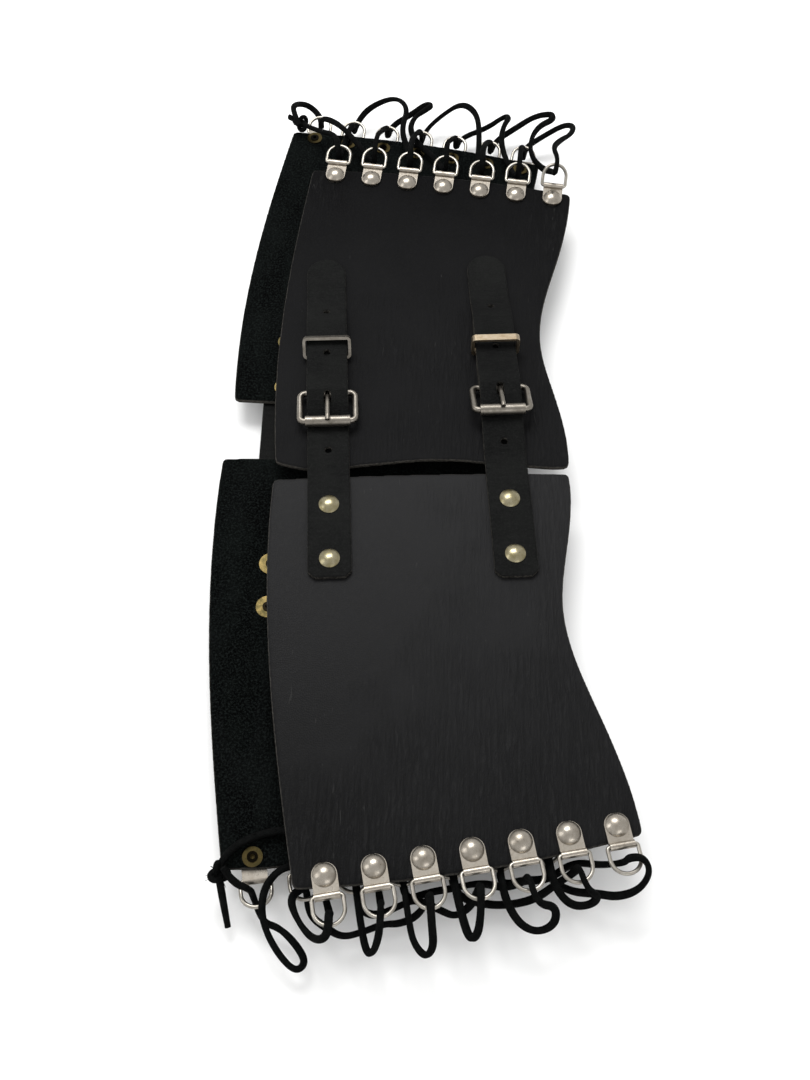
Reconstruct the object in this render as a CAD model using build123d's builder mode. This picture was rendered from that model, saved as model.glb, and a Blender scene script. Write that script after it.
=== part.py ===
from build123d import *

import os
from collections import namedtuple
from math import asin, atan2, cos, pi, radians, sin, tan

# A leather waist cincher, buckled shut and lying flattened on a table.
# +X runs from the hip edge to the underbust edge, +Y from one lacing to the other, +Z is up.
# The origin is on the table, under the middle of the belt's own box. All lengths are millimetres.

# ---- driving dimensions ----

LEATHER = 2.8  # thickness of the four panels
WAIST_GAP = 7.6  # free height between the front pair and the back pair
BACK_GRAIN_Z = 12.32  # the back pair lies outer face down, held up by its buckles
FRONT_GRAIN_Z = BACK_GRAIN_Z + LEATHER + WAIST_GAP + LEATHER

# Panel outline in its own plane: u from hip edge to bust edge, v from the centre edge to the lace edge.
PANEL_TALL = 140.4
HIP_EDGE = [(0, 0), (-1.9, 45), (0.2, 95), (5.6, 146), (11.8, 189.5)]
BUST_EDGE = [
    (PANEL_TALL, 0), (140.2, 15), (135.5, 42), (131.2, 70), (134.6, 96), (143.5, 125), (150, 149), (153.8, 172),
]
LACE_EDGE_MIDDLE = (83.2, 184.8)
PANEL_CORNER_R = 2.5
# Cut by hand: how far each centre edge strays from the line v = 0, outwards where negative.
CENTRE_EDGE = {
    "front_buckle": [
        (0, -1.2), (12, -4.2), (36, -3.6), (66, -1.0), (100, -1.4), (127, -3.4), (PANEL_TALL, -3.2),
    ],
    "front_strap": [(0, 0), (70, -1.2), (PANEL_TALL, 0)],
    "back_strap": [(0, 0), (70, -0.6), (PANEL_TALL, 0)],
    "back_buckle": [(0, -8.0), (70, -8.2), (PANEL_TALL, -7.6)],
}

# Lacing hardware: seven clips a panel, their bars in one straight line just off the lace edge.
RING_COUNT = 7
RING_PITCH = 20.0
FIRST_BAR = (25.6, 193.0)
BAR_SLOPE = -7.9
RING_WIRE_R = 0.85
RING_WIDE = 14.3
RING_LONG = 12.2
RING_CORNER_R = 1.2
CLIP_SHEET = 0.7
CLIP_WIDE = 10.4
CLIP_LONG = 13.4
CLIP_BORE_R = RING_WIRE_R + 0.06
CLIP_ROLL_R = CLIP_BORE_R + CLIP_SHEET
CLIP_ROLL_W = CLIP_ROLL_R + 0.02
CLIP_RIVET_IN = 8.5  # from the bar to the rivet

# Rivets: a domed cap, a hollow post and a washer on the suede side.
POST_R = 1.5
POST_HOLE_R = 1.55
POST_BORE_R = 1.0
FLARE_R = 2.3
FLARE = 0.4
WASHER = 0.5
CLIP_CAP = (4.85, 2.7)  # radius and height
STRAP_CAP = (4.75, 2.1)
BILLET_CAP = (4.5, 1.0)
CLIP_WASHER_R = 4.2
STRAP_WASHER_R = 4.6
BILLET_WASHER_R = 5.35

# Straps, billets and heel-bar roller buckles.
STRAP_WIDE = 20.0
STRAP = 2.4
STRAP_HOLE_R = 1.7
HOLE_PITCH = 27.0
BILLET_WIDE = 19.6
BILLET = 2.0
BUCKLE_WIRE_R = 1.55
BUCKLE_WIDE = 30.0
BUCKLE_REACH = 17.5  # hinge bar to roller bar
HINGE_END_R = 3.0
ROLLER_END_R = 2.4
ROLLER_R = 2.75
ROLLER_LONG = 21.6
PRONG_R = 1.15
PRONG_EYE_R = 2.75
PRONG_EYE_WIDE = 3.2
FIT = 0.08  # running clearance of bars in their bores
LAY = 0.12  # clearance between a strap and what it lies on
BILLET_FOLD_R = BUCKLE_WIRE_R + FIT + BILLET
BAR_W = BILLET_FOLD_R  # height of the hinge bar over the grain face
BILLET_FRONT_RIVET = 14.0  # hinge bar to the first billet rivet
BILLET_RIVET_PITCH = 22.0
BILLET_TAIL = 7.0
STRAP_OVER_BILLET = 2 * BILLET + BILLET_CAP[1] + LAY + STRAP / 2
KEEPER_BAND = 1.4
KEEPER_WIDE = 3.8
KEEPER_INNER = 21.2
KEEPER_TALL = 9.6  # between the middles of its two long sides
KEEPER_FROM_BAR = 23.5
KEEPER_TUNNEL = 3.7

# Laces: limp suede cord.
LACE_R = 1.7

Quarter = namedtuple("Quarter", "name plane side")
Buckling = namedtuple("Buckling", "name holder strap_quarter u slant root rivets bar tilt lean tip")


def quarter(name, x, y, turn, grain_z, outward, side):
    """A panel's own plane: origin at its hip corner on the centre edge, x along u, z out of the grain."""
    x_dir = (cos(radians(turn)), sin(radians(turn)), 0)
    return Quarter(name, Plane(origin=(x, y, grain_z), x_dir=x_dir, z_dir=(0, 0, outward)), side)


# Shift of the layout plan that puts the origin under the middle of the belt's box.
PLAN_X, PLAN_Y = -4.743, -21.012
FRONT_BUCKLE = quarter("front_buckle", -63.0 + PLAN_X, 5.5 + PLAN_Y, 1.8, FRONT_GRAIN_Z, 1, 1)
FRONT_STRAP = quarter("front_strap", -63.2 + PLAN_X, -5.5 + PLAN_Y, 3.3, FRONT_GRAIN_Z, 1, -1)
BACK_STRAP = quarter("back_strap", -87.8 + PLAN_X, 46.6 + PLAN_Y, -1.4, BACK_GRAIN_Z, -1, -1)
BACK_BUCKLE = quarter("back_buckle", -89.8 + PLAN_X, 3.9 + PLAN_Y, 2.1, BACK_GRAIN_Z, -1, 1)
QUARTERS = [FRONT_BUCKLE, FRONT_STRAP, BACK_STRAP, BACK_BUCKLE]

# Each buckling joins a strap quarter to a buckle quarter. u is where the strap's middle crosses the
# buckle quarter's centre edge; root, rivets, bar and tip are distances along the strap from there.
BUCKLINGS = [
    Buckling("front_hip", FRONT_BUCKLE, FRONT_STRAP, 25.4, 2.0, -63.7, (-54.2, -25.9), 36.0, 5.5, 38.0, 122.6),
    Buckling("front_bust", FRONT_BUCKLE, FRONT_STRAP, 109.9, 2.3, -63.0, (-51.6, -22.5), 39.8, 18.0, 6.0, 126.0),
    Buckling("back_hip", BACK_BUCKLE, BACK_STRAP, 27.0, 1.2, -88.0, (-78.6, -50.1), 36.0, 5.5, 12.0, 108.0),
    Buckling("back_bust", BACK_BUCKLE, BACK_STRAP, 111.0, 1.2, -88.0, (-78.6, -50.1), 36.0, 5.5, 12.0, 108.0),
]


# ---- planes and places ----


def panel_point(q, u, v, w=0.0):
    """A point of a panel: u and v in its outline, w out of the grain face."""
    return q.plane.from_local_coords(Vector(u, q.side * v, w))


def bar_axes(q):
    """Unit vectors of a panel's lacing line: along the bars, outward in the plan, and out of the grain."""
    along = panel_point(q, cos(radians(BAR_SLOPE)), sin(radians(BAR_SLOPE))) - panel_point(q, 0, 0)
    off = panel_point(q, -sin(radians(BAR_SLOPE)), cos(radians(BAR_SLOPE))) - panel_point(q, 0, 0)
    return along, off, q.plane.z_dir


def bar_place(q, number):
    """The grain-face point under the middle of bar 0 to 6."""
    reach = RING_PITCH * number
    u = FIRST_BAR[0] + reach * cos(radians(BAR_SLOPE))
    v = FIRST_BAR[1] + reach * sin(radians(BAR_SLOPE))
    return panel_point(q, u, v)


def clip_side_plane(q, number):
    """Seen along the bar: local x points off the panel, local y out of the grain."""
    along, off, out = bar_axes(q)
    return Plane(origin=bar_place(q, number), x_dir=off, z_dir=off.cross(out))


def strap_side_plane(b):
    """Seen across a strap: local x runs along the strap to its tip, local y out of the grain."""
    turn = radians(b.slant)
    run = panel_point(b.holder, -sin(turn), cos(turn)) - panel_point(b.holder, 0, 0)
    return Plane(origin=panel_point(b.holder, b.u, 0), x_dir=run, z_dir=run.cross(b.holder.plane.z_dir))


def strap_plan_plane(b, w=0.0):
    """Looking down on a strap: local x along it, local z out of the grain."""
    side = strap_side_plane(b)
    return Plane(origin=side.origin + side.y_dir * w, x_dir=side.x_dir, z_dir=side.y_dir)


def buckle_plane(b):
    """The buckle's own plane: origin on the hinge bar, x towards the roller, z out through its face."""
    side = strap_side_plane(b)
    tilt = radians(b.tilt)
    x_dir = side.x_dir * -cos(tilt) + side.y_dir * sin(tilt)
    z_dir = side.x_dir * sin(tilt) + side.y_dir * cos(tilt)
    return Plane(origin=side.from_local_coords(Vector(b.bar, BAR_W, 0)), x_dir=x_dir, z_dir=z_dir)


def rivet_places(q):
    """Grain-face points of every rivet that goes through a panel, in the panel's plane."""
    along, off, out = bar_axes(q)
    places = [bar_place(q, number) - off * CLIP_RIVET_IN for number in range(RING_COUNT)]
    for b in BUCKLINGS:
        side = strap_side_plane(b)
        if b.strap_quarter is q:
            places += [side.from_local_coords(Vector(s, 0, 0)) for s in b.rivets]
        if b.holder is q:
            places += [side.from_local_coords(Vector(s, 0, 0)) for s in billet_rivets(b)]
    return [q.plane.to_local_coords(place) for place in places]


def billet_rivets(b):
    first = b.bar + BILLET_FRONT_RIVET
    return (first, first + BILLET_RIVET_PITCH)


# ---- panels ----


def make_panel(q):
    """A flat quarter of leather, punched for its rivets."""
    with BuildPart() as panel:
        with BuildSketch(q.plane):
            with BuildLine():
                centre_edge = CENTRE_EDGE[q.name]
                Spline(*[(u, q.side * v) for u, v in centre_edge])
                Spline(*[(u, q.side * v) for u, v in [centre_edge[-1], *BUST_EDGE[1:]]])
                lace_edge = [BUST_EDGE[-1], LACE_EDGE_MIDDLE, HIP_EDGE[-1]]
                ThreePointArc(*[(u, q.side * v) for u, v in lace_edge])
                Spline(*[(u, q.side * v) for u, v in [centre_edge[0], *HIP_EDGE[1:]]])
            make_face()
            fillet(vertices(), PANEL_CORNER_R)
            with Locations(*[(place.X, place.Y) for place in rivet_places(q)]):
                Circle(POST_HOLE_R, mode=Mode.SUBTRACT)
        extrude(amount=-LEATHER)
    finish(panel, f"{q.name}_panel")


# ---- lacing hardware ----


def make_clips(q):
    """Seven folded plates, each with its fold rolled round the straight side of a ring."""
    along, off, out = bar_axes(q)
    with BuildPart() as clips:
        for number in range(RING_COUNT):
            side = clip_side_plane(q, number)
            with BuildSketch(side):
                with Locations((-CLIP_LONG / 2, CLIP_SHEET)):
                    Rectangle(CLIP_LONG, 2 * CLIP_SHEET)
                with Locations((0, CLIP_ROLL_W)):
                    Circle(CLIP_ROLL_R)
                    Circle(CLIP_BORE_R, mode=Mode.SUBTRACT)
            extrude(amount=CLIP_WIDE / 2, both=True)
            plan = Plane(origin=side.origin, x_dir=off, z_dir=out)
            with BuildSketch(plan):
                with Locations((-CLIP_RIVET_IN, 0)):
                    Circle(POST_HOLE_R)
            extrude(amount=3 * CLIP_SHEET, mode=Mode.SUBTRACT)
        inner_corners = clips.edges().filter_by(Axis.Z).filter_by(GeomType.LINE)
        fillet([edge for edge in inner_corners if is_clip_end(q, edge)], CLIP_WIDE / 2 - 0.3)
    finish(clips, f"{q.name}_clips")


def is_clip_end(q, edge):
    """True for an upright edge at the inner end of a clip's plate."""
    along, off, out = bar_axes(q)
    reach = (edge.center() - bar_place(q, 0)).dot(off)
    return reach < -CLIP_LONG + 0.01


def make_rings(label, q, numbers, tilts):
    """Wire D rings, each hinged by its straight side in its clip and leaning out of the panel by its tilt."""
    along, off, out = bar_axes(q)
    half = RING_WIDE / 2 - RING_WIRE_R
    tip = RING_LONG - RING_WIRE_R
    side_top = tip - half
    bar_half = half - RING_CORNER_R
    with BuildPart() as rings:
        for number, tilt in zip(numbers, tilts):
            lean = off * cos(radians(tilt)) + out * sin(radians(tilt))
            bar = clip_side_plane(q, number).from_local_coords(Vector(0, CLIP_ROLL_W, 0))
            with BuildLine(Plane(origin=bar, x_dir=along, z_dir=along.cross(lean))) as path:
                straight = Line((-bar_half, 0), (bar_half, 0))
                CenterArc((bar_half, RING_CORNER_R), RING_CORNER_R, -90, 90)
                Line((half, RING_CORNER_R), (half, side_top))
                CenterArc((0, side_top), half, 0, 180)
                Line((-half, side_top), (-half, RING_CORNER_R))
                CenterArc((-bar_half, RING_CORNER_R), RING_CORNER_R, 180, 90)
            with BuildSketch(Plane(origin=straight @ 0.5, z_dir=straight % 0.5)):
                Circle(RING_WIRE_R)
            sweep(path=path.wire())
    finish(rings, label)


def make_rivets(label, spots, seat, cap, washer_r):
    """Capped hollow rivets with their washers. A spot is a side plane and the rivet's local x on it."""
    cap_r, cap_tall = cap
    end = -LEATHER - WASHER
    rim = 0.3
    with BuildPart() as rivets:
        for side, at in spots:
            axis = Axis(origin=side.from_local_coords(Vector(at, 0, 0)), direction=side.y_dir)
            with BuildSketch(side):
                with BuildLine():
                    Polyline(
                        (at, seat + cap_tall),
                        (at, end + 1.5),
                        (at + POST_BORE_R, end + 1.5),
                        (at + POST_BORE_R, end - FLARE),
                        (at + FLARE_R, end - FLARE),
                        (at + FLARE_R, end),
                        (at + POST_R, end),
                        (at + POST_R, seat),
                        (at + cap_r, seat),
                        (at + cap_r, seat + rim),
                    )
                    dome = dome_radius(cap_r, cap_tall - rim)
                    RadiusArc((at, seat + cap_tall), (at + cap_r, seat + rim), dome)
                make_face()
            revolve(axis=axis)
            with BuildSketch(side):
                with Locations((at + (POST_HOLE_R + washer_r) / 2, end + WASHER / 2)):
                    Rectangle(washer_r - POST_HOLE_R, WASHER)
            revolve(axis=axis)
    finish(rivets, label)


def dome_radius(half_chord, rise):
    return (half_chord**2 + rise**2) / (2 * rise)


# ---- straps and buckles ----


def heading(start, end):
    """Angle in radians of the way from one side-view point to another."""
    return atan2(end[1] - start[1], end[0] - start[0])


def wrap_corner(centre, radius, angle_in, angle_out, above):
    """The corner of a path that rounds a circle from one heading to the other, over it or under it."""
    middle = (angle_in + angle_out) / 2
    reach = radius / cos((angle_out - angle_in) / 2) * (1 if above else -1)
    return (centre[0] - reach * sin(middle), centre[1] + reach * cos(middle))


def strap_line(b):
    """Corners and corner radii of a strap's middle line, seen across it."""
    tilt = radians(b.tilt)
    bar = (b.bar, BAR_W)
    roller = (b.bar - BUCKLE_REACH * cos(tilt), BAR_W + BUCKLE_REACH * sin(tilt))
    under = ROLLER_R + LAY + STRAP / 2
    over = BILLET_FOLD_R + LAY + STRAP / 2
    ramp = asin((under + over) / BUCKLE_REACH) - tilt
    lift = (b.bar - 38, STRAP / 2)
    settle = (b.bar + 12, STRAP_OVER_BILLET)
    first = heading(lift, (roller[0], roller[1] - under))
    last = heading((bar[0], bar[1] + over), settle)
    tail = b.bar + BILLET_FRONT_RIVET + BILLET_RIVET_PITCH + BILLET_TAIL
    corners = [
        (b.root, STRAP / 2),
        lift,
        wrap_corner(roller, under, first, ramp, above=False),
        wrap_corner(bar, over, ramp, last, above=True),
        settle,
        (tail, STRAP_OVER_BILLET),
        (tail + 14, STRAP / 2),
        (b.tip, STRAP / 2),
    ]
    return corners, [20, under, over, 10, 8, 8]


def hole_place(line, at):
    """The point of a strap's middle line at one distance along it, and the line's heading there."""
    for start, end in zip(line, line[1:]):
        if start[0] <= at <= end[0]:
            share = (at - start[0]) / (end[0] - start[0])
            return (at, start[1] + share * (end[1] - start[1])), heading(start, end)
    raise ValueError("hole off the strap")


def prong_pin(b):
    """Corners of the prong's pin in the buckle's plane: out of the eye, up, and onto the roller."""
    rest = ROLLER_R + PRONG_R + 0.12
    return [(1.2, 1.6), (8.5, 3.6), (BUCKLE_REACH, rest), (BUCKLE_REACH + 2, rest - 0.5)]


def prong_hole(b):
    """How far along the strap its middle line meets the pin, where the strap climbs over the hinge bar."""
    low, high = strap_line(b)[0][2:4]
    tilt = radians(b.tilt)
    pin = [
        (b.bar - x * cos(tilt) + y * sin(tilt), BAR_W + x * sin(tilt) + y * cos(tilt))
        for x, y in prong_pin(b)
    ]
    climb = (high[1] - low[1]) / (high[0] - low[0])
    fall = (pin[1][1] - pin[0][1]) / (pin[1][0] - pin[0][0])
    return (pin[0][1] - low[1] + climb * low[0] - fall * pin[0][0]) / (climb - fall)


def make_strap(b):
    """A strap from its square root, under the roller, over the billet and down to its round tip."""
    corners, radii = strap_line(b)
    side = strap_side_plane(b)
    with BuildPart() as strap:
        with BuildSketch(side):
            with BuildLine():
                FilletPolyline(*corners, radius=radii)
            trace(line_width=STRAP)
        extrude(amount=STRAP_WIDE / 2, both=True)
        with BuildSketch(strap_plan_plane(b)):
            with BuildLine():
                half = STRAP_WIDE / 2
                Polyline((b.tip - half, half), (b.root + 3, half), (b.root, half - 3), (b.root, 3 - half))
                Polyline((b.root, 3 - half), (b.root + 3, -half), (b.tip - half, -half))
                ThreePointArc((b.tip - half, -half), (b.tip, 0), (b.tip - half, half))
            make_face()
        extrude(amount=20, both=True, mode=Mode.INTERSECT)
        for steps in (-1, 0, 1, 2):
            place, way = hole_place(corners, prong_hole(b) + steps * HOLE_PITCH)
            out = side.x_dir * -sin(way) + side.y_dir * cos(way)
            run = side.x_dir * cos(way) + side.y_dir * sin(way)
            with BuildSketch(Plane(origin=side.from_local_coords(Vector(*place)), x_dir=run, z_dir=out)):
                if steps == 0:
                    SlotOverall(PRONG_R * 6, PRONG_R * 3)
                else:
                    Circle(STRAP_HOLE_R)
            extrude(amount=STRAP, both=True, mode=Mode.SUBTRACT)
        with BuildSketch(strap_plan_plane(b)):
            with Locations(*[(s, 0) for s in b.rivets]):
                Circle(POST_HOLE_R)
        extrude(amount=2 * STRAP, both=True, mode=Mode.SUBTRACT)
    finish(strap, f"{b.name}_strap")


def make_billet(b):
    """The short strap that holds the buckle, folded round the hinge bar and slotted for the prong."""
    end = b.bar + BILLET_FRONT_RIVET + BILLET_RIVET_PITCH + BILLET_TAIL
    keeper = b.bar + KEEPER_FROM_BAR
    side = strap_side_plane(b)
    with BuildPart() as billet:
        with BuildSketch(side):
            with Locations((b.bar, BAR_W)):
                Circle(BILLET_FOLD_R)
            with BuildLine():
                Polyline(
                    (b.bar, 0),
                    (end, 0),
                    (end, 2 * BILLET),
                    (b.bar + 8, 2 * BILLET),
                    (b.bar + 1.6, BAR_W + BILLET_FOLD_R * 0.9),
                    (b.bar, 0),
                )
            make_face()
            with Locations((b.bar, BAR_W)):
                Circle(BUCKLE_WIRE_R + FIT, mode=Mode.SUBTRACT)
        extrude(amount=BILLET_WIDE / 2, both=True)
        with BuildSketch(strap_plan_plane(b)):
            with Locations((b.bar + 1, 0)):
                SlotOverall(14, PRONG_EYE_WIDE + 1.2)
            with Locations(*[(s, 0) for s in billet_rivets(b)]):
                Circle(POST_HOLE_R)
        extrude(amount=10, mode=Mode.SUBTRACT)
        with BuildSketch(side):
            with Locations((keeper, KEEPER_TUNNEL / 2)):
                Rectangle(8, KEEPER_TUNNEL)
        extrude(amount=BILLET_WIDE, both=True, mode=Mode.SUBTRACT)
        with BuildSketch(side):
            with Locations((keeper, (KEEPER_TUNNEL + 2 * BILLET + BILLET_CAP[1]) / 2)):
                Rectangle(9, 2 * BILLET + BILLET_CAP[1] - KEEPER_TUNNEL)
        extrude(amount=BILLET_WIDE / 2, both=True)
    finish(billet, f"{b.name}_billet")


def make_buckle(b):
    """The wire frame, one closed loop with rounder corners at the hinge bar."""
    plane = buckle_plane(b)
    half = BUCKLE_WIDE / 2 - BUCKLE_WIRE_R
    with BuildPart() as frame:
        with BuildLine(plane) as path:
            hinge = Line((0, HINGE_END_R - half), (0, half - HINGE_END_R))
            CenterArc((HINGE_END_R, half - HINGE_END_R), HINGE_END_R, 180, -90)
            Line((HINGE_END_R, half), (BUCKLE_REACH - ROLLER_END_R, half))
            CenterArc((BUCKLE_REACH - ROLLER_END_R, half - ROLLER_END_R), ROLLER_END_R, 90, -90)
            Line((BUCKLE_REACH, half - ROLLER_END_R), (BUCKLE_REACH, ROLLER_END_R - half))
            CenterArc((BUCKLE_REACH - ROLLER_END_R, ROLLER_END_R - half), ROLLER_END_R, 0, -90)
            Line((BUCKLE_REACH - ROLLER_END_R, -half), (HINGE_END_R, -half))
            CenterArc((HINGE_END_R, HINGE_END_R - half), HINGE_END_R, 270, -90)
        with BuildSketch(Plane(origin=hinge @ 0.5, z_dir=hinge % 0.5)):
            Circle(BUCKLE_WIRE_R)
        sweep(path=path.wire())
    finish(frame, f"{b.name}_buckle")


def make_roller(b):
    """The loose tube on the buckle's outer bar."""
    plane = buckle_plane(b)
    centre = plane.from_local_coords(Vector(BUCKLE_REACH, 0, 0))
    with BuildPart() as roller:
        with BuildSketch(Plane(origin=centre, x_dir=plane.x_dir, z_dir=plane.y_dir)):
            Circle(ROLLER_R)
            Circle(BUCKLE_WIRE_R + FIT, mode=Mode.SUBTRACT)
        extrude(amount=ROLLER_LONG / 2, both=True)
    finish(roller, f"{b.name}_roller")


def make_prong(b):
    """The prong: an eye round the hinge bar and a bent pin that ends on the roller."""
    plane = buckle_plane(b)
    eye_plane = Plane(origin=plane.origin, x_dir=plane.x_dir, z_dir=plane.x_dir.cross(plane.z_dir))
    with BuildPart() as prong:
        with BuildLine(eye_plane) as pin:
            FilletPolyline(*prong_pin(b), radius=[6, 4])
        with BuildSketch(Plane(origin=pin.wire() @ 0, z_dir=pin.wire() % 0)):
            Circle(PRONG_R)
        sweep(path=pin.wire())
        with BuildSketch(eye_plane):
            Circle(PRONG_EYE_R)
        extrude(amount=PRONG_EYE_WIDE / 2, both=True)
        with BuildSketch(eye_plane):
            Circle(BUCKLE_WIRE_R + FIT)
        extrude(amount=PRONG_EYE_WIDE, both=True, mode=Mode.SUBTRACT)
    finish(prong, f"{b.name}_prong")


def make_keeper(b):
    """A flat band bent to a rectangle round strap and billet, leaning towards the strap's tip."""
    side = strap_side_plane(b)
    lean = radians(b.lean)
    up = side.x_dir * sin(lean) + side.y_dir * cos(lean)
    low = side.from_local_coords(Vector(b.bar + KEEPER_FROM_BAR, KEEPER_TUNNEL / 2, 0))
    plane = Plane(origin=low + up * (KEEPER_TALL / 2), x_dir=side.z_dir, z_dir=side.z_dir.cross(up))
    inner = (KEEPER_INNER, KEEPER_TALL - KEEPER_BAND)
    with BuildPart() as keeper:
        with BuildSketch(plane):
            RectangleRounded(inner[0] + 2 * KEEPER_BAND, inner[1] + 2 * KEEPER_BAND, 2.2)
            RectangleRounded(inner[0], inner[1], 0.8, mode=Mode.SUBTRACT)
        extrude(amount=KEEPER_WIDE / 2, both=True)
    finish(keeper, f"{b.name}_keeper")


# ---- laces ----

# Each lace zigzags down every second front ring, turns at the seventh and comes back by the others. It comes
# up through a front ring, over its arc, down through a back ring, and out under that ring's arc.
TOP_LACE = [
    (-79, 222, 19), (-70, 215, 20), (-59, 204, 25), (-50, 195, 32), (-48, 184, 32), (-48, 184, 22),
    (-46, 202, 19), (-42, 221, 18), (-42, 221, 8), (-40, 232, 8),
    (-33, 239, 13), (-18, 238, 22), (-10, 228, 23), (-14, 209, 23), (-9, 195, 21), (-8, 180, 22),
    (-8, 180, 32), (-8, 191, 32), (-5, 206, 25), (-2, 214, 18), (-2, 214, 8), (0, 226, 8),
    (9, 233, 13), (21, 237, 20), (30, 226, 22), (31, 206, 22), (30, 191, 21), (32, 176, 22),
    (32, 176, 32), (32, 187, 32), (35, 199, 26), (38, 208, 18), (38, 208, 8), (41, 219, 8),
    (53, 226, 12), (64, 232, 16), (74, 231, 19), (74, 223, 22), (65, 216, 23), (60, 206, 22),
    (60, 193, 22), (66, 182, 23), (72, 176, 27), (71, 166, 36), (72, 171, 42), (70, 182, 39),
    (75, 196, 31), (83, 207, 26), (85, 216, 24), (80, 222, 19), (69, 220, 12), (59, 215, 8),
    (57, 204, 8), (57, 204, 18), (54, 194, 27), (53, 186, 33), (52, 174, 33), (52, 174, 22),
    (46, 190, 21), (43, 204, 22), (45, 217, 22), (49, 226, 20), (46, 231, 16), (36, 224, 13),
    (21, 221, 8), (18, 211, 8), (18, 211, 18), (15, 200, 26), (12, 190, 33), (12, 178, 33),
    (12, 178, 22), (6, 191, 20), (-4, 204, 18), (-9, 214, 19), (-7, 223, 20), (0, 230, 20),
    (4, 236, 18), (0, 239, 16), (-8, 234, 13), (-20, 229, 8), (-22, 218, 8), (-22, 218, 18),
    (-25, 206, 25), (-27, 194, 33), (-28, 182, 33), (-28, 182, 22), (-37, 196, 23), (-46, 208, 24),
    (-54, 218, 21), (-61, 224, 17), (-61, 224, 8), (-62, 235, 8), (-69, 239, 13), (-76, 232, 20),
    (-77, 222, 24), (-72, 212, 22),
]
BOTTOM_LACE = [
    (-72, -227, 6), (-75, -215, 12), (-77, -205, 18), (-70, -196, 18), (-58, -191, 18), (-48, -190, 19),
    (-36, -192, 19), (-24, -198, 19), (-12, -209, 20), (-10, -220, 21), (-10, -220, 31),
    (-10, -231, 31), (-12, -238, 26), (-15, -238, 20), (-18, -226, 19), (-21, -208, 18), (-21, -208, 8),
    (-19, -219, 8), (-12, -222, 10), (-3, -218, 12), (4, -215, 13), (13, -219, 14), (20, -222, 14),
    (26, -218, 17), (29, -212, 21), (29, -212, 32), (29, -223, 32), (28, -231, 28), (25, -232, 22),
    (21, -219, 23), (19, -209, 20), (18, -201, 17), (18, -201, 8), (20, -212, 8), (30, -215, 7),
    (40, -216, 9), (52, -214, 12), (61, -208, 16), (68, -204, 21), (68, -204, 31), (71, -213, 31),
    (76, -214, 26), (74, -217, 22), (66, -218, 22), (60, -212, 22), (58, -203, 20), (57, -194, 17),
    (57, -194, 8), (59, -205, 8), (68, -210, 10), (77, -211, 14), (85, -213, 18), (93, -211, 23),
    (97, -205, 28), (94, -200, 32), (88, -200, 31), (88, -200, 21), (78, -201, 20), (68, -199, 16),
    (58, -206, 13), (48, -206, 11), (39, -208, 8), (38, -198, 8), (38, -198, 17), (38, -208, 20),
    (40, -217, 21), (45, -225, 20), (52, -228, 20), (59, -225, 22), (59, -219, 27), (51, -219, 31),
    (48, -208, 31), (48, -208, 20), (40, -210, 14), (30, -208, 14), (19, -211, 16), (8, -212, 10),
    (0, -215, 8), (-2, -205, 8), (-2, -205, 17), (-1, -213, 20), (1, -224, 22), (3, -233, 20),
    (8, -239, 22), (11, -236, 28), (10, -228, 31), (9, -216, 31), (9, -216, 20), (5, -222, 16),
    (-2, -225, 13), (-9, -225, 12), (-16, -228, 12), (-25, -231, 13), (-32, -227, 11), (-39, -222, 8),
    (-41, -212, 8), (-41, -212, 17), (-47, -217, 18), (-43, -226, 19), (-36, -234, 24), (-30, -234, 31),
    (-30, -224, 31), (-30, -224, 21), (-34, -212, 20), (-44, -204, 19), (-52, -206, 18), (-57, -213, 18),
    (-58, -221, 17), (-56, -229, 13), (-50, -238, 10), (-43, -244, 9), (-39, -240, 9), (-44, -233, 9),
    (-51, -227, 8), (-58, -225, 7), (-63, -214, 8), (-63, -214, 17), (-70, -212, 20), (-74, -207, 23),
]


def turn_between(a, b, c):
    """Half the turn in radians that a line makes at b on its way from a to c."""
    return radians((b - a).get_angle(c - b)) / 2


def lace_radii(points):
    """Corner radii that leave a little straight on both sides, and at most five cord diameters."""
    corners = [Vector(*point) for point in points]
    radii = []
    for a, b, c in zip(corners, corners[1:], corners[2:]):
        shorter = min((b - a).length, (c - b).length)
        radii.append(round(min(10 * LACE_R, 0.45 * shorter / tan(turn_between(a, b, c))), 2))
    return radii


def make_lace(label, points):
    """A round suede cord of fixed section along its line."""
    radii = lace_radii(points)
    with BuildPart() as lace:
        with BuildLine() as line:
            FilletPolyline(*points, radius=radii)
        path = line.wire()
        with BuildSketch(Plane(origin=path @ 0, z_dir=path % 0)):
            Circle(LACE_R)
        sweep(path=path)
    section = pi * LACE_R**2
    share = lace.part.volume / (section * path.length)
    print(label, "length", round(path.length), "volume share", round(share, 4))
    print(label, "radii", radii)
    finish(lace, label)


# ---- output ----


def finish(builder, label):
    """Labels a finished piece and writes it."""
    builder.part.label = label
    export_step(builder.part, f"parts/{label}.step")


os.makedirs("parts", exist_ok=True)

# How far each front ring leans up out of its panel, hip side first.
FRONT_RING_TILT = {"front_buckle": (8, 14, 10, 12, 8, 16, 40), "front_strap": (4, 2, 0, 6, 3, 0, 2)}
BACK_RING_TILT = -12  # the back rings lean towards the front pair

for q in QUARTERS:
    make_panel(q)
    make_clips(q)
    clip_spots = [(clip_side_plane(q, number), -CLIP_RIVET_IN) for number in range(RING_COUNT)]
    make_rivets(f"{q.name}_clip_rivets", clip_spots, 2 * CLIP_SHEET, CLIP_CAP, CLIP_WASHER_R)

for q in (FRONT_BUCKLE, FRONT_STRAP):
    for number, tilt in enumerate(FRONT_RING_TILT[q.name]):
        make_rings(f"{q.name}_ring_{number + 1}", q, [number], [tilt])

for q in (BACK_STRAP, BACK_BUCKLE):
    make_rings(f"{q.name}_rings", q, range(RING_COUNT), [BACK_RING_TILT] * RING_COUNT)

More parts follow.
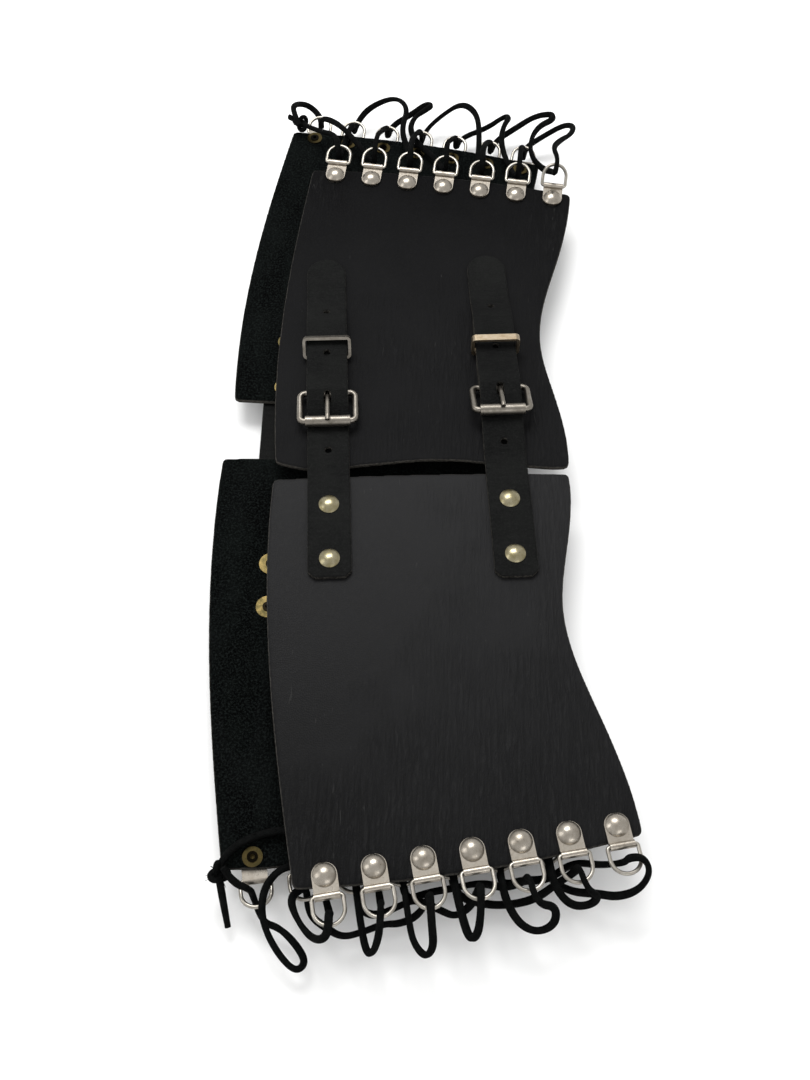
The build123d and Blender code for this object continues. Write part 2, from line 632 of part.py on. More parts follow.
for b in BUCKLINGS:
    make_strap(b)
    make_billet(b)
    make_buckle(b)
    make_roller(b)
    make_prong(b)
    make_keeper(b)

for pair in ("front", "back"):
    sides = [(strap_side_plane(b), b) for b in BUCKLINGS if b.name.startswith(pair)]
    strap_spots = [(side, at) for side, b in sides for at in b.rivets]
    billet_spots = [(side, at) for side, b in sides for at in billet_rivets(b)]
    make_rivets(f"{pair}_strap_rivets", strap_spots, STRAP, STRAP_CAP, STRAP_WASHER_R)
    make_rivets(f"{pair}_billet_rivets", billet_spots, 2 * BILLET, BILLET_CAP, BILLET_WASHER_R)

make_lace("top_lace", TOP_LACE)
make_lace("bottom_lace", BOTTOM_LACE)
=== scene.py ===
from math import cos, pi, sin

import bpy
import numpy as np
from mathutils import Matrix, Vector


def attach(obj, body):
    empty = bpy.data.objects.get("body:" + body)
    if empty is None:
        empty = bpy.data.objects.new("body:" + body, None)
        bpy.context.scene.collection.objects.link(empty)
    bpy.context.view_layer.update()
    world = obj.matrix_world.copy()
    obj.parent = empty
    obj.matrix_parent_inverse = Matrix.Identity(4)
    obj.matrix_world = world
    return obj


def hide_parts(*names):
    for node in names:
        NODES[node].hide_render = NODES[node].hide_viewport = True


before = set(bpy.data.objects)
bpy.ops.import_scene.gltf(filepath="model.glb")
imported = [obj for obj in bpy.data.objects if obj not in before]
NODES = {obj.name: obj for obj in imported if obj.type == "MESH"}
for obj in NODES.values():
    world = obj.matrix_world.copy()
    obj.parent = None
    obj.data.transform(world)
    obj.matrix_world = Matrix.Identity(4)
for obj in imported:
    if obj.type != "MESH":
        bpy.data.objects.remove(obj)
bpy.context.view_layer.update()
MM = 0.001

# ---- stage, light and camera ----

SENSOR_WIDTH = 36.0  # mm
FOCAL_PIXELS, FRAME_PIXELS = 1150, 1080  # focal length and longer side, in the photograph's pixels
EYE = (-0.004743, -0.30616, 0.49285)
EYE_PITCH, EYE_ROLL = 0.48977, 0.02943
WORLD_STRENGTH = 0.84

scene = bpy.context.scene
scene.view_settings.view_transform = "Standard"

camera = bpy.data.objects.new("camera", bpy.data.cameras.new("camera"))
camera.data.sensor_width = SENSOR_WIDTH
camera.data.lens = SENSOR_WIDTH * FOCAL_PIXELS / FRAME_PIXELS
camera.data.clip_start = 0.01
camera.matrix_world = (
    Matrix.Translation(EYE) @ Matrix.Rotation(EYE_PITCH, 4, "X") @ Matrix.Rotation(EYE_ROLL, 4, "Z")
)
scene.collection.objects.link(camera)
scene.camera = camera

world = bpy.data.worlds.new("studio")
world.use_nodes = True
backdrop = world.node_tree.nodes["Background"].inputs
backdrop["Color"].default_value = (1.0, 1.0, 1.0, 1)
backdrop["Strength"].default_value = WORLD_STRENGTH
scene.world = world


def softbox(name, place, size, power):
    """A rectangular light that faces the middle of the table."""
    light = bpy.data.objects.new(name, bpy.data.lights.new(name, "AREA"))
    light.data.shape = "RECTANGLE"
    light.data.size, light.data.size_y = size
    light.data.energy = power
    light.location = place
    light.rotation_euler = (-Vector(place)).to_track_quat("-Z", "Y").to_euler()
    scene.collection.objects.link(light)


softbox("softbox_top", (-0.15, 0.48, 0.90), (0.60, 0.45), 8)
softbox("softbox_left", (-1.1, -0.2, 0.7), (0.5, 0.8), 2.5)
softbox("softbox_front", (0.5, -1.2, 0.8), (0.8, 0.4), 2)


# ---- node helpers ----


class Shade:
    """A material under construction: short calls that add a node and return the socket it gives."""

    def __init__(self, name):
        self.material = bpy.data.materials.new(name)
        self.material.use_nodes = True
        self.tree = self.material.node_tree
        self.tree.nodes.clear()
        self.bsdf = self.tree.nodes.new("ShaderNodeBsdfPrincipled")
        out = self.tree.nodes.new("ShaderNodeOutputMaterial")
        self.tree.links.new(self.bsdf.outputs[0], out.inputs["Surface"])
        self.coord = self.tree.nodes.new("ShaderNodeTexCoord")
        self.place = self.coord.outputs["Object"]

    def put(self, socket, value):
        """Links the socket to another one, or sets it to a plain value."""
        if isinstance(value, bpy.types.NodeSocket):
            self.tree.links.new(value, socket)
        else:
            socket.default_value = value

    def stretched(self, scale, turn=0.0):
        """The object's own coordinates times a scale for each axis, then turned about z."""
        node = self.tree.nodes.new("ShaderNodeMapping")
        node.inputs["Scale"].default_value = scale
        node.inputs["Rotation"].default_value = (0, 0, turn)
        self.put(node.inputs["Vector"], self.place)
        return node.outputs[0]

    def noise(self, scale, detail, rough, at=None, distort=0.0):
        node = self.tree.nodes.new("ShaderNodeTexNoise")
        self.put(node.inputs["Vector"], at or self.place)
        node.inputs["Scale"].default_value = scale
        node.inputs["Detail"].default_value = detail
        node.inputs["Roughness"].default_value = rough
        node.inputs["Distortion"].default_value = distort
        return node.outputs["Fac"]

    def cells(self, scale, at=None):
        node = self.tree.nodes.new("ShaderNodeTexVoronoi")
        node.feature = "DISTANCE_TO_EDGE"
        self.put(node.inputs["Vector"], at or self.place)
        node.inputs["Scale"].default_value = scale
        return node.outputs["Distance"]

    def ramp(self, value, low, high, a=0.0, b=1.0):
        """a where the value is low, b where it is high, and straight between them."""
        node = self.tree.nodes.new("ShaderNodeMapRange")
        self.put(node.inputs["Value"], value)
        for key, number in (("From Min", low), ("From Max", high), ("To Min", a), ("To Max", b)):
            node.inputs[key].default_value = number
        return node.outputs[0]

    def math(self, kind, a, b=None):
        """A Math node; b stays unset for an operation that takes one value."""
        node = self.tree.nodes.new("ShaderNodeMath")
        node.operation = kind
        self.put(node.inputs[0], a)
        if b is not None:
            self.put(node.inputs[1], b)
        return node.outputs[0]

    def mix(self, share, a, b):
        node = self.tree.nodes.new("ShaderNodeMix")
        node.data_type = "RGBA"
        self.put(node.inputs[0], share)
        self.put(node.inputs[6], a)
        self.put(node.inputs[7], b)
        return node.outputs[2]

    def split(self, vector):
        node = self.tree.nodes.new("ShaderNodeSeparateXYZ")
        self.put(node.inputs[0], vector)
        return node.outputs

    def bump(self, height, depth, strength):
        node = self.tree.nodes.new("ShaderNodeBump")
        self.put(node.inputs["Height"], height)
        node.inputs["Distance"].default_value = depth
        node.inputs["Strength"].default_value = strength
        return node.outputs[0]

    def done(self, **sockets):
        names = {
            "color": "Base Color",
            "rough": "Roughness",
            "metal": "Metallic",
            "normal": "Normal",
            "specular": "Specular IOR Level",
        }
        for key, value in sockets.items():
            self.put(self.bsdf.inputs[names[key]], value)
        return self.material


def rgb(r, g, b):
    return (r, g, b, 1.0)


# ---- materials ----

# Colours are linear. Relief depths are in metres.
GRAIN_DARK = rgb(0.0010, 0.0010, 0.0012)
GRAIN_WORN = (0.0100, 0.0100, 0.0104)
CREASE_GREY = rgb(0.0135, 0.0135, 0.0138)
GRAIN_SPECK = rgb(0.012, 0.012, 0.0122)
SCRATCH_GREY = rgb(0.028, 0.028, 0.027)
SUEDE_DARK = rgb(0.0005, 0.0006, 0.0006)
SUEDE_NAP = rgb(0.0080, 0.0102, 0.0096)
SUEDE_BRUSHED = rgb(0.0080, 0.0102, 0.0095)
FIBRE_DARK = rgb(0.0075, 0.0072, 0.0066)
FIBRE_LIGHT = rgb(0.085, 0.079, 0.069)
PANEL_RELIEF = 0.00020
STRAP_DARK = rgb(0.0024, 0.0025, 0.0025)
STRAP_WORN = (0.0072, 0.0075, 0.0071)
STRAP_SPECK = rgb(0.0150, 0.0155, 0.0148)
STRAP_FIBRE = rgb(0.095, 0.088, 0.077)
STRAP_RELIEF = 0.00022
STRAP_GLOSS = 0.035
METAL_RELIEF = 0.00005


def panel_leather(name, out, worn, shine, crease_band, turn=0.0):
    """Grain on one face, suede on the other, and fibres on the cut edge.

    out is +1 where the grain looks up and -1 where it looks down. worn scales the rubbed grain's
    colour. Creases grow from the first to the second of crease_band's distances from y = 0. turn
    tilts their direction, in radians."""
    s = Shade(name)
    nz = s.split(s.coord.outputs["Normal"])[2]
    facing = s.math("MULTIPLY", nz, float(out))
    suede = s.ramp(facing, 0.05, -0.35)
    edge = s.ramp(s.math("ABSOLUTE", nz), 0.86, 0.55)
    x, y, _ = s.split(s.place)
    across = s.math("ABSOLUTE", y)
    # grain: pores, long shallow creases across the belt, and broad rubbed patches
    pores = s.ramp(s.cells(1150, s.stretched((1, 0.8, 1))), 0.0, 0.28)
    handled = s.math(
        "ADD", s.ramp(across, *crease_band, 0.0, 0.22), s.ramp(x, 0.035, 0.075, 0.0, 0.20)
    )
    creased = s.ramp(s.math("ADD", s.noise(16, 3, 0.5), handled), 0.52, 0.72)
    creases = s.ramp(s.noise(640, 5, 0.62, s.stretched((1, 0.14, 1), turn), 1.0), 0.38, 0.62)
    creases = s.math("MULTIPLY", creases, creased)
    folds = s.ramp(s.noise(130, 3, 0.5, s.stretched((1, 0.13, 1), turn), 1.6), 0.3, 0.7)
    folds = s.math("MULTIPLY", folds, creased)
    patches = s.noise(13, 5, 0.6)
    scuffs = s.ramp(s.noise(520, 4, 0.7, s.stretched((0.12, 1, 1), turn + 0.5)), 0.63, 0.78)
    rubbed = s.math(
        "ADD", s.ramp(patches, 0.3, 0.7, 0.0, 0.35), s.ramp(across, 0.20, 0.02, 0.0, 0.6)
    )
    grain_color = s.mix(rubbed, GRAIN_DARK, rgb(*(worn * c for c in GRAIN_WORN)))
    creased_share = s.math("MULTIPLY", s.ramp(creases, 0.5, 1.0), 0.28)
    grain_color = s.mix(creased_share, grain_color, CREASE_GREY)
    speckle = s.noise(1700, 3, 0.7)
    grain_color = s.mix(s.ramp(speckle, 0.5, 0.72, 0.0, 0.45), grain_color, GRAIN_SPECK)
    scratch = s.ramp(s.noise(34, 2, 0.4, s.stretched((6, 1, 1), 0.5), 3.0), 0.752, 0.768, 0.0, 0.5)
    grain_color = s.mix(scratch, grain_color, SCRATCH_GREY)
    # suede: nap with brushed lighter streaks and a green cast
    nap = s.noise(1000, 6, 0.8)
    brushed = s.noise(75, 4, 0.65, s.stretched((1, 0.45, 1)))
    suede_color = s.mix(s.ramp(nap, 0.48, 0.61), SUEDE_DARK, SUEDE_NAP)
    suede_color = s.mix(s.ramp(brushed, 0.42, 0.75, 0.0, 0.35), suede_color, SUEDE_BRUSHED)
    # cut edge: pale fibres in dark dye
    fibres = s.noise(700, 5, 0.7, s.stretched((1, 1, 4)))
    edge_color = s.mix(s.ramp(fibres, 0.35, 0.7), FIBRE_DARK, FIBRE_LIGHT)
    color = s.mix(suede, grain_color, suede_color)
    color = s.mix(edge, color, edge_color)
    grain_rough = s.math(
        "ADD", s.ramp(patches, 0.25, 0.75, 0.42, 0.58), s.math("MULTIPLY", scuffs, 0.12)
    )
    rough = s.math("MAXIMUM", grain_rough, s.math("MAXIMUM", suede, s.math("MULTIPLY", edge, 0.85)))
    wrinkles = s.math("ADD", s.math("MULTIPLY", creases, 1.2), s.math("MULTIPLY", folds, 1.5))
    relief = s.math("ADD", s.math("MULTIPLY", pores, 0.30), wrinkles)
    relief = s.math("MULTIPLY", relief, s.math("SUBTRACT", 1.0, suede))
    fuzz = s.math("MULTIPLY", s.math("MAXIMUM", suede, edge), nap)
    normal = s.bump(s.math("ADD", relief, s.math("MULTIPLY", fuzz, 2.2)), PANEL_RELIEF, 0.9)
    return s.done(color=color, rough=rough, normal=normal, specular=shine)


def strap_leather(name, lift=1.0):
    """Waxed strap leather: smooth, lighter in rubbed patches and along its cut edges.

    lift scales the rubbed colour."""
    s = Shade(name)
    nz = s.split(s.coord.outputs["Normal"])[2]
    edge = s.ramp(s.math("ABSOLUTE", nz), 0.72, 0.35)
    pores = s.ramp(s.cells(1500), 0.0, 0.3)
    wrinkles = s.ramp(s.noise(420, 5, 0.65, s.stretched((0.25, 1, 1)), 0.8), 0.4, 0.66)
    speckle = s.noise(1300, 4, 0.75)
    rubbed = s.noise(38, 5, 0.65)
    color = s.mix(s.ramp(rubbed, 0.35, 0.7), STRAP_DARK, rgb(*(lift * c for c in STRAP_WORN)))
    color = s.mix(s.ramp(speckle, 0.48, 0.70, 0.0, 0.55), color, STRAP_SPECK)
    fibres = s.noise(800, 5, 0.7)
    edge_color = s.mix(s.ramp(fibres, 0.4, 0.7), FIBRE_DARK, STRAP_FIBRE)
    color = s.mix(s.math("MULTIPLY", edge, 0.8), color, edge_color)
    rough = s.math("ADD", s.ramp(rubbed, 0.3, 0.75, 0.42, 0.60), s.math("MULTIPLY", edge, 0.25))
    relief = s.math("ADD", s.math("MULTIPLY", pores, 0.3), s.math("MULTIPLY", wrinkles, 0.7))
    frayed = s.math("MULTIPLY", s.math("MULTIPLY", edge, fibres), 1.6)
    normal = s.bump(s.math("ADD", relief, frayed), STRAP_RELIEF, 0.9)
    return s.done(color=color, rough=rough, normal=normal, specular=STRAP_GLOSS)


def metal_look(s, bright, dull, tarnish, rough):
    """Colour, roughness and normal of plating, tarnished in blotches and finely scratched."""
    blotches = s.noise(240, 6, 0.7)
    spots = s.noise(900, 4, 0.7)
    scratches = s.noise(2600, 3, 0.6, s.stretched((1, 0.08, 1), 0.4))
    color = s.mix(s.ramp(blotches, 0.38, 0.66), bright, dull)
    color = s.mix(s.ramp(spots, 0.60, 0.74, 0.0, 0.75), color, tarnish)
    blotchy = s.ramp(blotches, 0.3, 0.7, rough, rough + 0.17)
    roughness = s.math("ADD", blotchy, s.ramp(scratches, 0.5, 0.8, 0.0, 0.12))
    relief = s.math("ADD", s.math("MULTIPLY", scratches, 0.25), s.math("MULTIPLY", spots, 0.9))
    normal = s.bump(relief, METAL_RELIEF, 0.55)
    return color, roughness, normal


def plated(name, bright, dull, tarnish, rough):
    s = Shade(name)
    color, roughness, normal = metal_look(s, bright, dull, tarnish, rough)
    return s.done(color=color, rough=roughness, metal=1.0, normal=normal)


def cap_and_washer(name, cap, washer, out):
    """Cap plating on the grain side, washer plating on the suede side with its flare painted near
    black: painted shade of a hollow, partly dark oxide.

    out is +1 where the grain side looks up. Each plating is (bright, dull, tarnish)."""
    s = Shade(name)
    height = s.split(s.place)[2]
    middle, flare = FRONT_RIVET_HEIGHTS if out > 0 else BACK_RIVET_HEIGHTS
    kinds = ("GREATER_THAN", "LESS_THAN") if out > 0 else ("LESS_THAN", "GREATER_THAN")
    cap_color, rough, normal = metal_look(s, *cap, 0.20)
    washer_color, _, _ = metal_look(s, *washer, 0.28)
    # painted shade: the flare is painted near black like a shaded hollow, partly dark oxide
    washer_color = s.mix(s.math(kinds[1], height, flare), washer_color, HOLLOW_SHADE_AND_OXIDE)
    color = s.mix(s.math(kinds[0], height, middle), washer_color, cap_color)
    return s.done(color=color, rough=rough, metal=1.0, normal=normal)


# Heights at which a rivet turns from cap to washer, and its washer from rim to the flare painted
# near black as the shade of a hollow.
FRONT_RIVET_HEIGHTS = (0.0240, 0.02215)
BACK_RIVET_HEIGHTS = (0.0141, 0.01569)

NICKEL = (rgb(0.40, 0.365, 0.315), rgb(0.27, 0.24, 0.20), rgb(0.11, 0.092, 0.07))
BRASS = (rgb(0.075, 0.055, 0.021), rgb(0.030, 0.026, 0.011), rgb(0.009, 0.010, 0.005))
CREAM = (rgb(0.35, 0.315, 0.215), rgb(0.20, 0.172, 0.088), rgb(0.085, 0.068, 0.028))
STEEL = (rgb(0.42, 0.395, 0.35), rgb(0.28, 0.26, 0.225), rgb(0.12, 0.105, 0.08))
BAR_STEEL = (rgb(0.24, 0.22, 0.19), rgb(0.155, 0.14, 0.118), rgb(0.07, 0.06, 0.045))
WORN_GILT = (rgb(0.36, 0.30, 0.22), rgb(0.24, 0.18, 0.11), rgb(0.14, 0.085, 0.045))
# near black for a rivet's flare: painted shade of a hollow, partly dark oxide
HOLLOW_SHADE_AND_OXIDE = rgb(0.004, 0.0032, 0.002)

front_upper_skin = panel_leather("front_upper_skin", 1, 1.0, 0.02, (0.06, 0.0), 0.05)
front_lower_skin = panel_leather("front_lower_skin", 1, 1.5, 0.08, (0.08, 0.19), -0.12)
back_skin = panel_leather("back_skin", -1, 1.0, 0.03, (0.08, 0.19))
strap_skin = strap_leather("strap_skin")
billet_skin = strap_leather("billet_skin", 0.8)
nickel = plated("nickel", *NICKEL, 0.24)
steel_wire = plated("steel_wire", *STEEL, 0.24)
bar_metal = plated("bar_metal", *BAR_STEEL, 0.28)
worn_keeper = plated("worn_keeper", *WORN_GILT, 0.3)
front_clip_caps = cap_and_washer("front_clip_caps", NICKEL, BRASS, 1)
back_clip_caps = cap_and_washer("back_clip_caps", NICKEL, BRASS, -1)
front_strap_caps = cap_and_washer("front_strap_caps", CREAM, BRASS, 1)
back_strap_caps = cap_and_washer("back_strap_caps", CREAM, BRASS, -1)

for name, node in NODES.items():
    if "ring" in name:
        look = steel_wire
    elif name.endswith("clips"):
        look = nickel
    elif name.endswith("clip_rivets"):
        look = front_clip_caps if name.startswith("front") else back_clip_caps
    elif name.endswith("_rivets"):
        look = front_strap_caps if name.startswith("front") else back_strap_caps
    elif name == "front_bust_keeper":
        look = worn_keeper
    elif name.endswith(("buckle", "roller", "prong", "keeper")):
        look = bar_metal
    else:
        continue
    node.data.materials.clear()
    node.data.materials.append(look)


# ---- leather pieces ----

PANEL_VOXEL, STRAP_VOXEL = 0.0008, 0.0004
PANEL_SMOOTH, STRAP_SMOOTH, BILLET_SMOOTH = 3, 3, 2
WELD_REACH = 2e-6


def remeshed(node_name, name, voxel, smooth):
    """A new piece with the shape of a CAD node, its sharp edges rounded by a remesh.

    smooth is how many times the remeshed surface is smoothed."""
    piece = bpy.data.objects.new(name, NODES[node_name].data.copy())
    scene.collection.objects.link(piece)
    weld = piece.modifiers.new("weld", "WELD")
    weld.merge_threshold = WELD_REACH
    remesh = piece.modifiers.new("remesh", "REMESH")
    remesh.mode = "VOXEL"
    remesh.voxel_size = voxel
    rounding = piece.modifiers.new("round", "SMOOTH")
    rounding.factor, rounding.iterations = 0.5, smooth
    dg = bpy.context.evaluated_depsgraph_get()
    mesh = bpy.data.meshes.new_from_object(piece.evaluated_get(dg))
    piece.modifiers.clear()
    piece.data = mesh
    piece.data.materials.clear()
    return piece


def points_of(piece):
    co = np.zeros(len(piece.data.vertices) * 3)
    piece.data.vertices.foreach_get("co", co)
    return co.reshape(-1, 3)


def set_points(piece, co):
    piece.data.vertices.foreach_set("co", co.ravel())
    piece.data.update()
    piece.data.shade_smooth()


def bell(x, middle, width):
    return np.exp(-(((x - middle) / width) ** 2))


SKINS = {
    "front_buckle": front_upper_skin,
    "front_strap": front_lower_skin,
    "back_strap": back_skin,
    "back_buckle": back_skin,
}
BODY = {
    "front_buckle": "front_buckle_side",
    "front_strap": "front_strap_side",
    "back_strap": "back_half",
    "back_buckle": "back_half",
}
EDGE_LINE = -0.0155  # y of the upper front panel's centre edge
EDGE_FADE = 0.012
LOOSE_CORNER = (0.100, -0.168)  # x and y of the lower front panel's corner that lifts
CORNER_LIFT, CORNER_FADE = 0.0022, 0.018


def make_panel(quarter):
    piece = remeshed(f"{quarter}_panel", f"{quarter}_leather", PANEL_VOXEL, PANEL_SMOOTH)
    co = points_of(piece)
    x, y = co[:, 0], co[:, 1]
    if quarter == "front_buckle":
        # the centre edge of the upper front panel dips and lifts between its straps
        near = np.exp(-np.clip(y - EDGE_LINE, 0, None) / EDGE_FADE)
        wave = 0.0020 * bell(x, 0.010, 0.021)
        wave = wave - 0.0017 * bell(x, -0.046, 0.011) - 0.0012 * bell(x, 0.066, 0.010)
        co[:, 2] += near * wave
    elif quarter == "front_strap":
        away = np.hypot(x - LOOSE_CORNER[0], y - LOOSE_CORNER[1])
        co[:, 2] += CORNER_LIFT * np.exp(-away / CORNER_FADE)
    set_points(piece, co)
    piece.data.materials.append(SKINS[quarter])
    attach(piece, BODY[quarter])
    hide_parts(f"{quarter}_panel")


def make_strip(node_name, smooth, skin, body):
    """A strap or a billet."""
    piece = remeshed(node_name, f"{node_name}_leather", STRAP_VOXEL, smooth)
    piece.data.materials.append(skin)
    piece.data.shade_smooth()
    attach(piece, body)
    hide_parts(node_name)


for quarter in SKINS:
    make_panel(quarter)

for pair in ("front", "back"):
    for row in ("hip", "bust"):
        make_strip(f"{pair}_{row}_strap", STRAP_SMOOTH, strap_skin, BODY[f"{pair}_strap"])
        make_strip(f"{pair}_{row}_billet", BILLET_SMOOTH, billet_skin, BODY[f"{pair}_buckle"])


# ---- laces ----

# Centreline points of each lace in millimetres. A lace zigzags between the two ring rows in one
# direction by every second ring, turns at the end of the row and comes back by the others.
TOP_LACE = [
    (-79, 222, 19), (-70, 215, 20), (-59, 204, 25), (-50, 195, 32), (-48, 184, 32), (-48, 184, 22),
    (-46, 202, 19), (-42, 221, 18), (-42, 221, 8), (-40, 232, 8),
    (-33, 239, 13), (-18, 238, 22), (-10, 228, 23), (-14, 209, 23), (-9, 195, 21), (-8, 180, 22),
    (-8, 180, 32), (-8, 191, 32), (-5, 206, 25), (-2, 214, 18), (-2, 214, 8), (0, 226, 8),
    (9, 233, 13), (21, 237, 20), (30, 226, 22), (31, 206, 22), (30, 191, 21), (32, 176, 22),
    (32, 176, 32), (32, 187, 32), (35, 199, 26), (38, 208, 18), (38, 208, 8), (41, 219, 8),
    (53, 226, 12), (64, 232, 16), (74, 231, 19), (74, 223, 22), (65, 216, 23), (60, 206, 22),
    (60, 193, 22), (66, 182, 23), (72, 176, 27), (71, 166, 36), (72, 171, 42), (70, 182, 39),
    (75, 196, 31), (83, 207, 26), (85, 216, 24), (80, 222, 19), (69, 220, 12), (59, 215, 8),
    (57, 204, 8), (57, 204, 18), (54, 194, 27), (53, 186, 33), (52, 174, 33), (52, 174, 22),
    (46, 190, 21), (43, 204, 22), (45, 217, 22), (49, 226, 20), (46, 231, 16), (36, 224, 13),
    (21, 221, 8), (18, 211, 8), (18, 211, 18), (15, 200, 26), (12, 190, 33), (12, 178, 33),
    (12, 178, 22), (6, 191, 20), (-4, 204, 18), (-9, 214, 19), (-7, 223, 20), (0, 230, 20),
    (4, 236, 18), (0, 239, 16), (-8, 234, 13), (-20, 229, 8), (-22, 218, 8), (-22, 218, 18),
    (-25, 206, 25), (-27, 194, 33), (-28, 182, 33), (-28, 182, 22), (-37, 196, 23), (-46, 208, 24),
    (-54, 218, 21), (-61, 224, 17), (-61, 224, 8), (-62, 235, 8), (-69, 239, 13), (-76, 232, 20),
    (-77, 222, 24), (-72, 212, 22),
]
BOTTOM_LACE = [
    (-72, -227, 6), (-75, -215, 12), (-77, -205, 18),
    (-70, -196, 18), (-58, -191, 18), (-48, -190, 19),
    (-36, -192, 19), (-24, -198, 19), (-12, -209, 20), (-10, -220, 21), (-10, -220, 31),
    (-10, -231, 31), (-12, -238, 26), (-15, -238, 20),
    (-18, -226, 19), (-21, -208, 18), (-21, -208, 8),
    (-19, -219, 8), (-12, -222, 10), (-3, -218, 12), (4, -215, 13), (13, -219, 14), (20, -222, 14),
    (26, -218, 17), (29, -212, 21), (29, -212, 32), (29, -223, 32), (28, -231, 28), (25, -232, 22),
    (21, -219, 23), (19, -209, 20), (18, -201, 17), (18, -201, 8), (20, -212, 8), (30, -215, 7),
    (40, -216, 9), (52, -214, 12), (61, -208, 16), (68, -204, 21), (68, -204, 31), (71, -213, 31),
    (76, -214, 26), (74, -217, 22), (66, -218, 22), (60, -212, 22), (58, -203, 20), (57, -194, 17),
    (57, -194, 8), (59, -205, 8), (68, -210, 10), (77, -211, 14), (85, -213, 18), (93, -211, 23),
    (97, -205, 28), (94, -200, 32), (88, -200, 31), (88, -200, 21), (78, -201, 20), (68, -199, 16),
    (58, -206, 13), (48, -206, 11), (39, -208, 8), (38, -198, 8), (38, -198, 17), (38, -208, 20),
    (40, -217, 21), (45, -225, 20), (52, -228, 20), (59, -225, 22), (59, -219, 27), (51, -219, 31),
    (48, -208, 31), (48, -208, 20), (40, -210, 14), (30, -208, 14), (19, -211, 16), (8, -212, 10),
    (0, -215, 8), (-2, -205, 8), (-2, -205, 17), (-1, -213, 20), (1, -224, 22), (3, -233, 20),
    (8, -239, 22), (11, -236, 28), (10, -228, 31), (9, -216, 31), (9, -216, 20), (5, -222, 16),
    (-2, -225, 13), (-9, -225, 12), (-16, -228, 12),
    (-25, -231, 13), (-32, -227, 11), (-39, -222, 8),
    (-41, -212, 8), (-41, -212, 17), (-47, -217, 18),
    (-43, -226, 19), (-36, -234, 24), (-30, -234, 31),
    (-30, -224, 31), (-30, -224, 21), (-34, -212, 20),
    (-44, -204, 19), (-52, -206, 18), (-57, -213, 18),
    (-58, -221, 17), (-56, -229, 13), (-50, -238, 10),
    (-43, -244, 9), (-39, -240, 9), (-44, -233, 9),
    (-51, -227, 8), (-58, -225, 7), (-63, -214, 8),
    (-63, -214, 17), (-70, -212, 20), (-74, -207, 23),
]


def suede_cord():
    s = Shade("suede_cord_skin")
    nap = s.noise(1500, 6, 0.8)
    streaks = s.noise(300, 4, 0.6)
    color = s.mix(s.ramp(nap, 0.35, 0.7), rgb(0.0006, 0.0007, 0.0007), rgb(0.0058, 0.0062, 0.0061))
    color = s.mix(s.ramp(streaks, 0.45, 0.8, 0.0, 0.5), color, rgb(0.009, 0.0094, 0.0092))
    normal = s.bump(s.math("ADD", nap, s.math("MULTIPLY", streaks, 0.6)), 0.00035, 0.9)
    return s.done(color=color, rough=0.95, normal=normal, specular=0.03)


LACE_SKIN = suede_cord()
LACE_R = 0.0017  # half the thong's width
LACE_THIN = 0.00125  # half its thickness
FIBRE_R = 0.00022


def make_lace(name, points):
    """A flattened thong along its centreline, which twists and swells a little on its way."""
    data = bpy.data.curves.new(name, "CURVE")
    data.dimensions = "3D"
    data.extrude = LACE_R - LACE_THIN
    data.bevel_depth = LACE_THIN
    data.bevel_resolution = 4
    data.resolution_u = 10
    data.use_fill_caps = True
    spline = data.splines.new("NURBS")
    spline.points.add(len(points) - 1)
    for number, (point, place) in enumerate(zip(spline.points, points)):
        point.co = (*(MM * c for c in place), 1)
        point.radius = 1 + 0.10 * sin(2.1 * number) * cos(0.7 * number)
        point.tilt = 0.9 * sin(0.55 * number) + 0.5 * sin(1.9 * number)
    spline.order_u = 3
    spline.use_endpoint_u = True
    cord = bpy.data.objects.new(f"{name}_cord", data)
    scene.collection.objects.link(cord)
    data.materials.append(LACE_SKIN)
    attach(cord, "back_half")
    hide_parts(name)
    return cord


KNOT_POINTS = 18


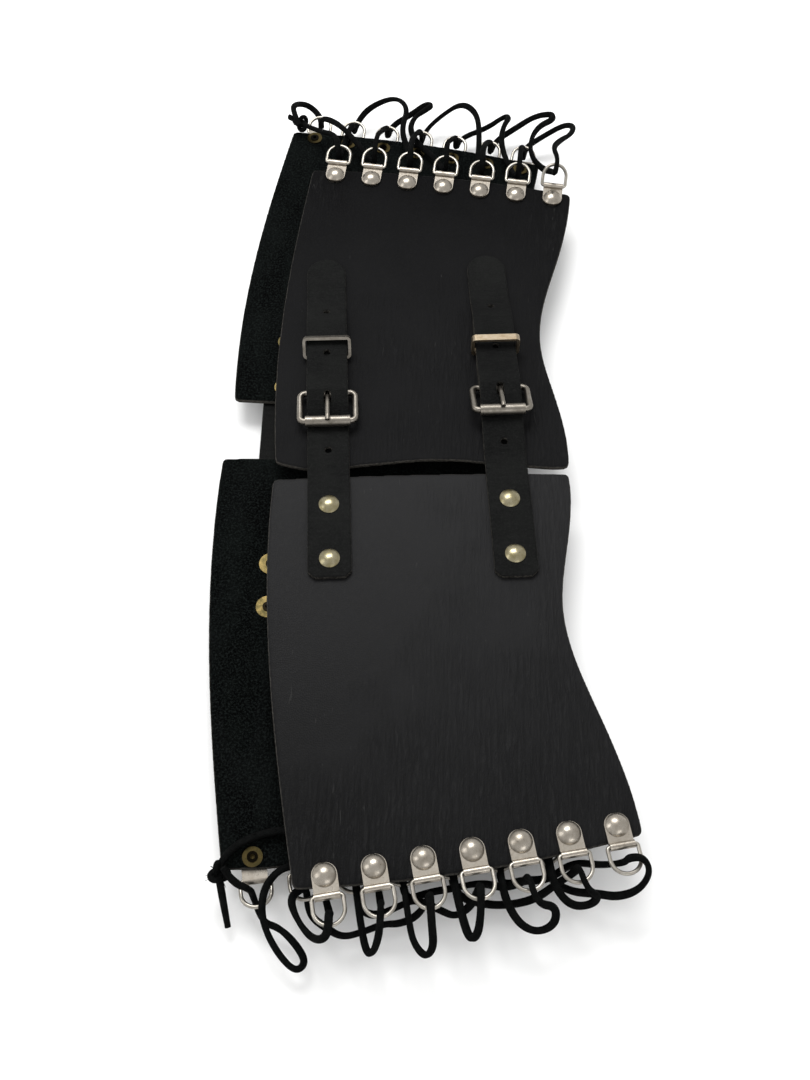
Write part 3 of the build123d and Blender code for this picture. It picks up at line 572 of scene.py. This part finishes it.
def make_knot(name, centre, size, turn):
    """A closed trefoil pulled tight, where a lace's two ends are tied."""
    data = bpy.data.curves.new(name, "CURVE")
    data.dimensions = "3D"
    data.bevel_depth = LACE_THIN
    data.bevel_resolution = 4
    data.resolution_u = 6
    spline = data.splines.new("NURBS")
    spline.points.add(KNOT_POINTS - 1)
    for number, point in enumerate(spline.points):
        t = 2 * pi * number / KNOT_POINTS
        place = Vector((sin(t) + 2 * sin(2 * t), cos(t) - 2 * cos(2 * t), -1.35 * sin(3 * t)))
        place *= size
        place = Matrix.Rotation(turn, 3, "Z") @ Matrix.Rotation(0.5, 3, "X") @ place
        point.co = (*(Vector(centre) * MM + place * MM), 1)
    spline.order_u = 3
    spline.use_cyclic_u = True
    knot = bpy.data.objects.new(name, data)
    scene.collection.objects.link(knot)
    data.materials.append(LACE_SKIN)
    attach(knot, "back_half")
    return knot


def make_fray(name, centre, count, reach, seed):
    """Loose suede fibres that stand out of a knot, each a thin bent hair.

    centre and reach are in millimetres."""
    data = bpy.data.curves.new(name, "CURVE")
    data.dimensions = "3D"
    data.bevel_depth = FIBRE_R
    data.bevel_resolution = 1
    data.use_fill_caps = True
    rng = np.random.default_rng(seed)
    for _ in range(count):
        way = rng.normal(size=3)
        way /= np.linalg.norm(way)
        length = reach * rng.uniform(0.55, 1.0)
        bend = rng.normal(size=3) * 0.25 * length
        spline = data.splines.new("NURBS")
        spline.points.add(3)
        for number, point in enumerate(spline.points):
            t = number / 3
            place = np.array(centre) + way * length * (0.15 + 0.85 * t) + bend * t * t
            point.co = (*(MM * place), 1)
            point.radius = 1.5 - 1.2 * t
        spline.order_u = 3
        spline.use_endpoint_u = True
    fray = bpy.data.objects.new(name, data)
    scene.collection.objects.link(fray)
    data.materials.append(LACE_SKIN)
    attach(fray, "back_half")
    return fray


top_knot = make_knot("top_knot", (-71.5, 215.5, 20.5), 1.35, 0.4)
bottom_knot = make_knot("bottom_knot", (-76.0, -208.0, 18.0), 1.35, 1.3)
top_fray = make_fray("top_fray", (-72.5, 215.5, 20.5), 44, 4.6, 3)
bottom_fray = make_fray("bottom_fray", (-76.0, -208.0, 18.0), 50, 5.2, 8)
top_cord = make_lace("top_lace", TOP_LACE)
bottom_cord = make_lace("bottom_lace", BOTTOM_LACE)


# ---- floor ----

HALF_FLOOR = 6
floor_mesh = bpy.data.meshes.new("floor")
floor_signs = ((-1, -1), (1, -1), (1, 1), (-1, 1))
floor_corners = [(x * HALF_FLOOR, y * HALF_FLOOR, 0) for x, y in floor_signs]
floor_mesh.from_pydata(floor_corners, [], [(0, 1, 2, 3)])
floor = bpy.data.objects.new("floor", floor_mesh)
scene.collection.objects.link(floor)
paper = Shade("paper")
floor_mesh.materials.append(paper.done(color=rgb(0.93, 0.93, 0.925), rough=0.9, specular=0.1))
